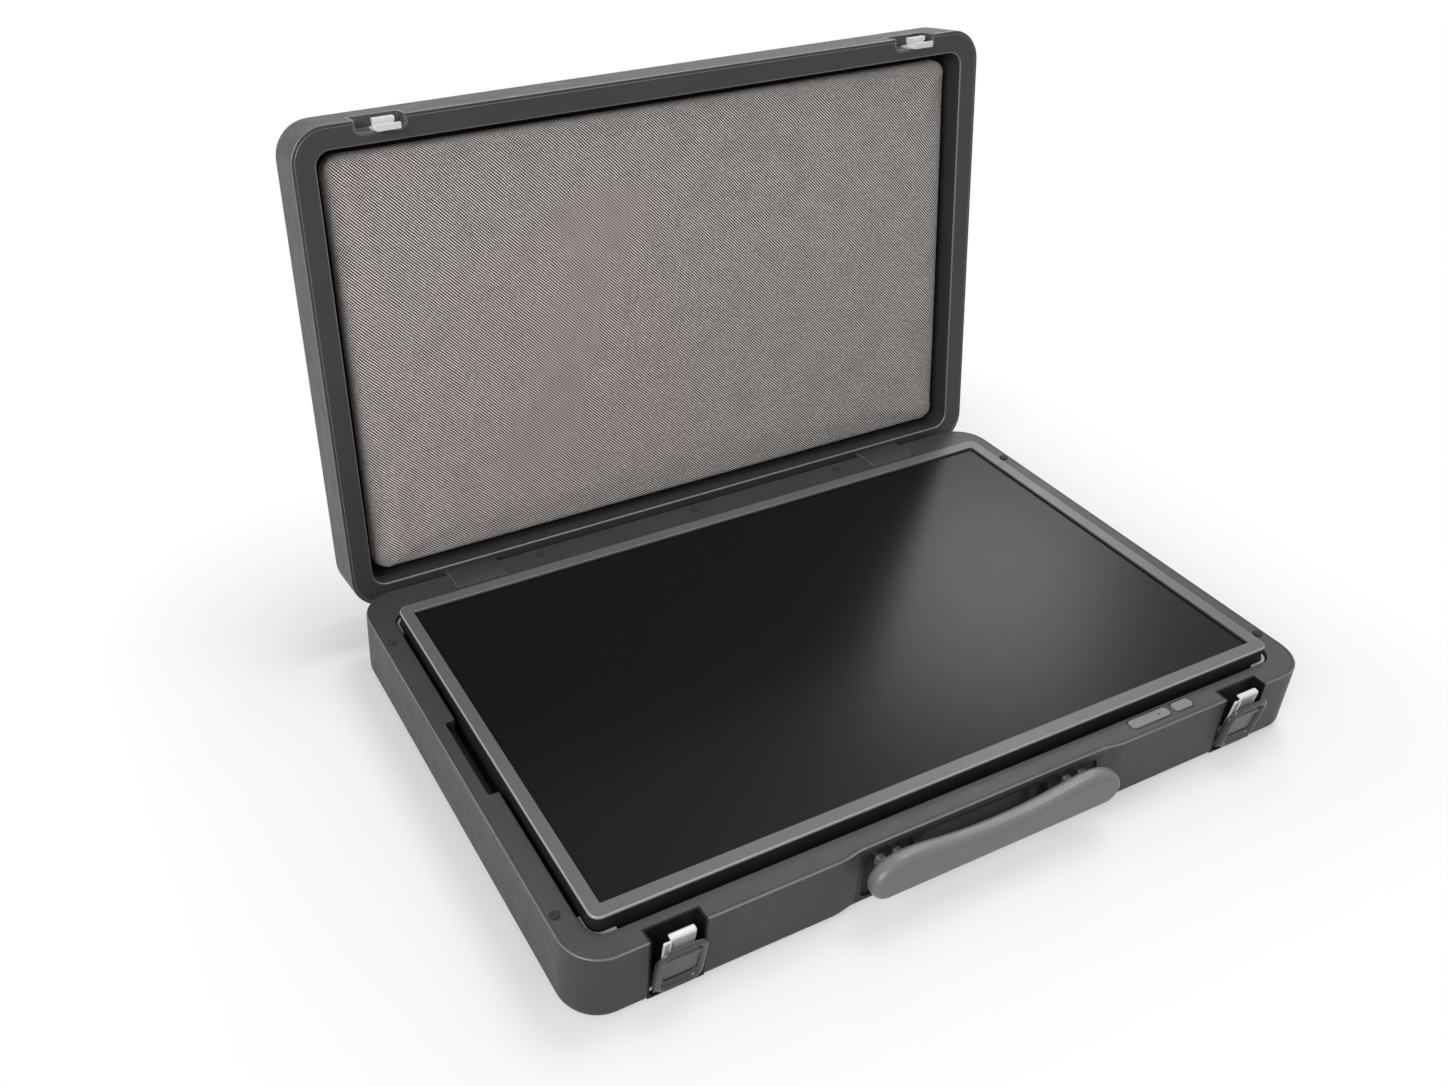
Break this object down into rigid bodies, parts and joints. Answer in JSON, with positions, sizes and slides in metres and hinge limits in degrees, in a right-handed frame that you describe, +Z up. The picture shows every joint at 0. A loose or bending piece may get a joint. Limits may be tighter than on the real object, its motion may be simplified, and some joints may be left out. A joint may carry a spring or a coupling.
{
  "type": "hard carrying case with a built-in display",
  "caption": "Hard carrying case, lid open, with a flat display lying in its base, a padded lid, draw latches, a pull-out handle and a lifting arm under the display.",
  "frame": {"origin": "on the table, under the middle of the open case's bounding box", "axes": "+X to the right along the hinge line, +Y from the handle to the hinges, +Z up"},
  "size_m": [0.67, 0.5652, 0.4575],
  "materials": {
    "shell_plastic": "matte",
    "deck_plastic": "satin",
    "black_plastic": "matte",
    "grip_plastic": "soft satin",
    "white_plastic": "gloss",
    "light_plastic": "matte",
    "button_plastic": "satin",
    "rubber": "matte",
    "steel": "brushed",
    "aluminium": "cast",
    "bezel_paint": "satin metallic",
    "screen_glass": "gloss",
    "lcd": "gloss",
    "pad_fabric": "woven",
    "board_fibre": "pressed fibre",
    "circuit": "satin",
    "battery_wrap": "satin"
  },
  "bodies": {
    "base": {"base_tray": "shell_plastic", "deck_panel": "deck_plastic", "well_floor": "black_plastic", "feet": "rubber", "deck_bumpers": "rubber", "corner_cradles": "light_plastic", "base_screws": "steel", "handle_bay": "black_plastic", "handle_guide_left": "black_plastic", "handle_guide_right": "black_plastic", "latch_bay_left": "deck_plastic", "latch_bay_right": "deck_plastic", "latch_pins": "steel", "hinge_bracket_left": "steel", "hinge_bracket_right": "steel", "hinge_pins": "steel", "battery_pack": "battery_wrap", "main_board": "circuit", "power_board": "circuit", "speaker_box_left": "black_plastic", "speaker_box_right": "black_plastic", "speaker_drivers": "black_plastic", "button_board": "circuit", "arm_bracket": "steel", "arm_pin": "steel"},
    "lid": {"lid_shell": "shell_plastic", "lid_frame": "deck_plastic", "lid_pad": "pad_fabric", "pad_board": "board_fibre", "board_posts": "light_plastic", "catch_bay_left": "deck_plastic", "catch_bay_right": "deck_plastic", "latch_catch_left": "white_plastic", "latch_catch_right": "white_plastic", "hinge_plate_left": "steel", "hinge_plate_right": "steel", "hinge_arm_left": "deck_plastic", "hinge_arm_right": "deck_plastic"},
    "handle": {"handle_grip": "grip_plastic", "handle_posts": "steel", "handle_stops": "steel"},
    "lever_left": {"latch_lever_left": "shell_plastic", "hook_pin_left": "steel"},
    "lever_right": {"latch_lever_right": "shell_plastic", "hook_pin_right": "steel"},
    "hook_left": {"latch_hook_left": "white_plastic"},
    "hook_right": {"latch_hook_right": "white_plastic"},
    "arm": {"lift_arm": "aluminium"},
    "display": {"tilt_bracket": "steel", "tilt_pin": "steel", "display_cover": "black_plastic", "screen_bezel": "bezel_paint", "screen_glass": "screen_glass", "lcd_panel": "lcd", "panel_frame": "aluminium", "display_board": "circuit"},
    "rocker": {"volume_rocker": "button_plastic"},
    "power": {"power_button": "button_plastic"}
  },
  "joints": [
    {"name": "lid_hinge", "type": "hinge", "parent": "base", "child": "lid", "pos_m": [0, 0.15177, 0.05], "axis": [-1, 0, 0], "range_deg": [-99.3, 0]},
    {"name": "handle_slide", "type": "slide", "parent": "base", "child": "handle", "axis": [0, -1, 0], "range_m": [-0.0063, 0.0022]},
    {"name": "lever_left_hinge", "type": "hinge", "parent": "base", "child": "lever_left", "pos_m": [-0.26, -0.26073, 0.0116], "axis": [1, 0, 0], "range_deg": [-8, 80]},
    {"name": "hook_left_hinge", "type": "hinge", "parent": "lever_left", "child": "hook_left", "pos_m": [-0.26, -0.25649, 0.01522], "axis": [1, 0, 0], "range_deg": [-23.3, 2.4]},
    {"name": "lever_right_hinge", "type": "hinge", "parent": "base", "child": "lever_right", "pos_m": [0.26, -0.26073, 0.0116], "axis": [1, 0, 0], "range_deg": [-8, 80]},
    {"name": "hook_right_hinge", "type": "hinge", "parent": "lever_right", "child": "hook_right", "pos_m": [0.26, -0.25649, 0.01522], "axis": [1, 0, 0], "range_deg": [-23.3, 2.4]},
    {"name": "arm_lift", "type": "hinge", "parent": "base", "child": "arm", "pos_m": [0, 0.10877, 0.0365], "axis": [-1, 0, 0], "range_deg": [0, 80]},
    {"name": "display_tilt", "type": "hinge", "parent": "arm", "child": "display", "pos_m": [0, -0.09813, 0.0365], "axis": [1, 0, 0], "range_deg": [0, 154.7]},
    {"name": "volume_rock", "type": "hinge", "parent": "base", "child": "rocker", "pos_m": [0.1677, -0.25113, 0.0572], "axis": [0, 1, 0], "range_deg": [-1.5, 1.5], "stiffness_Nm_per_rad": 1.2},
    {"name": "power_press", "type": "slide", "parent": "base", "child": "power", "axis": [0, 0, -1], "range_m": [0, 0.001], "stiffness_N_per_m": 900}
  ],
  "couplings": [
    {"joint": "hook_left_hinge", "follows": "lever_left_hinge", "ratio": -0.29},
    {"joint": "hook_right_hinge", "follows": "lever_right_hinge", "ratio": -0.29},
    {"joint": "display_tilt", "follows": "arm_lift", "ratio": 1.933}
  ]
}
